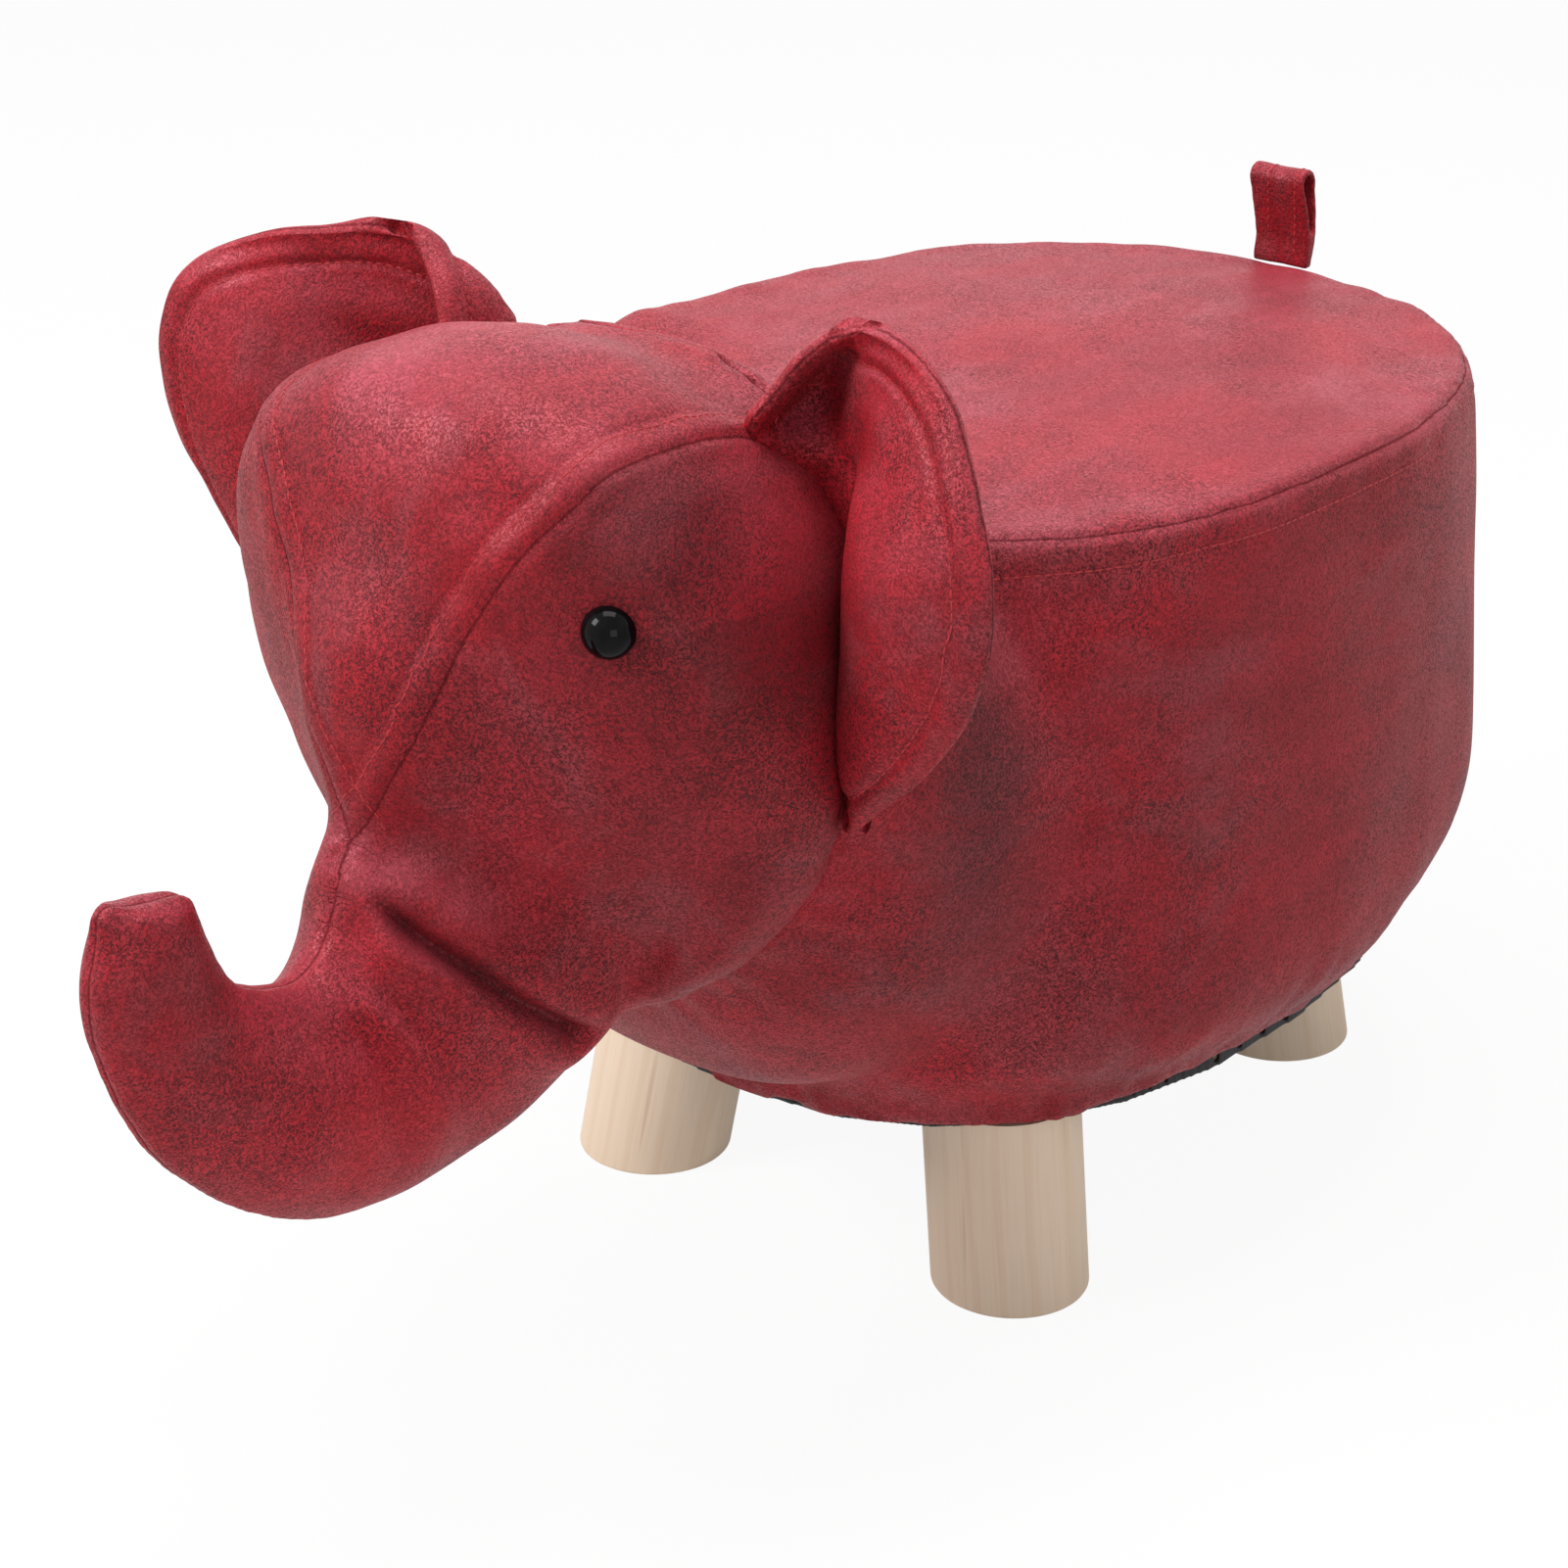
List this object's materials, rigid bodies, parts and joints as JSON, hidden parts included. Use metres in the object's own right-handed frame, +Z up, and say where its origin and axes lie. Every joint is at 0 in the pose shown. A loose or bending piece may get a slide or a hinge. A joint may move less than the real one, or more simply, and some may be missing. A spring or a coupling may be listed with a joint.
{
  "type": "elephant footstool",
  "caption": "Padded footstool shaped like an elephant, with a stuffed head, curled trunk, floppy ears, tail loop and splayed round legs.",
  "frame": {"origin": "on the floor, under the middle of the whole part's bounding box", "axes": "+Z up, the face looks along -Y and the tail is at +Y, +X is the animal's left"},
  "size_m": [0.29, 0.5666, 0.3342],
  "materials": {
    "cover": "distressed faux leather, soft satin",
    "foam": "matte foam",
    "fill": "loose white fibre",
    "nonwoven": "black non-woven",
    "pine": "bare sanded pine",
    "plywood": "raw plywood",
    "steel": "zinc plated",
    "eye": "polished black",
    "washer": "moulded",
    "elastic": "flat elastic"
  },
  "bodies": {
    "stool": {"cover_seat": "cover", "cover_side": "cover", "cover_hem": "cover", "neck_cover": "cover", "head_side_left": "cover", "head_side_right": "cover", "forehead_gusset": "cover", "trunk_side_left": "cover", "trunk_side_right": "cover", "seat_foam": "foam", "side_foam": "foam", "neck_stuffing": "fill", "head_stuffing": "fill", "trunk_stuffing": "fill", "dust_cover": "nonwoven", "leg_front_left": "pine", "leg_front_right": "pine", "leg_rear_left": "pine", "leg_rear_right": "pine", "base_board": "plywood", "seat_board": "plywood", "frame_wall": "plywood", "frame_posts": "plywood", "frame_screws": "steel", "hanger_bolts": "steel", "t_nuts": "steel", "dust_cover_staples": "steel", "eye_left": "eye", "eye_right": "eye", "eye_washers": "washer", "hem_elastic": "elastic"},
    "left_ear": {"ear_left_front": "cover", "ear_left_back": "cover"},
    "right_ear": {"ear_right_front": "cover", "ear_right_back": "cover"},
    "tail": {"tail_loop": "cover"}
  },
  "joints": [
    {"name": "left_ear_root", "type": "hinge", "parent": "stool", "child": "left_ear", "pos_m": [0.086, -0.09075, 0.196], "axis": [-0.2395, 0.1566, 0.9582], "range_deg": [-20, 45], "stiffness_Nm_per_rad": 0.03},
    {"name": "right_ear_root", "type": "hinge", "parent": "stool", "child": "right_ear", "pos_m": [-0.086, -0.09075, 0.196], "axis": [-0.2395, -0.1566, -0.9582], "range_deg": [-20, 45], "stiffness_Nm_per_rad": 0.03},
    {"name": "tail_foot", "type": "hinge", "parent": "stool", "child": "tail", "pos_m": [0, 0.27255, 0.2558], "axis": [1, 0, 0], "range_deg": [-60, 35], "stiffness_Nm_per_rad": 0.01}
  ]
}
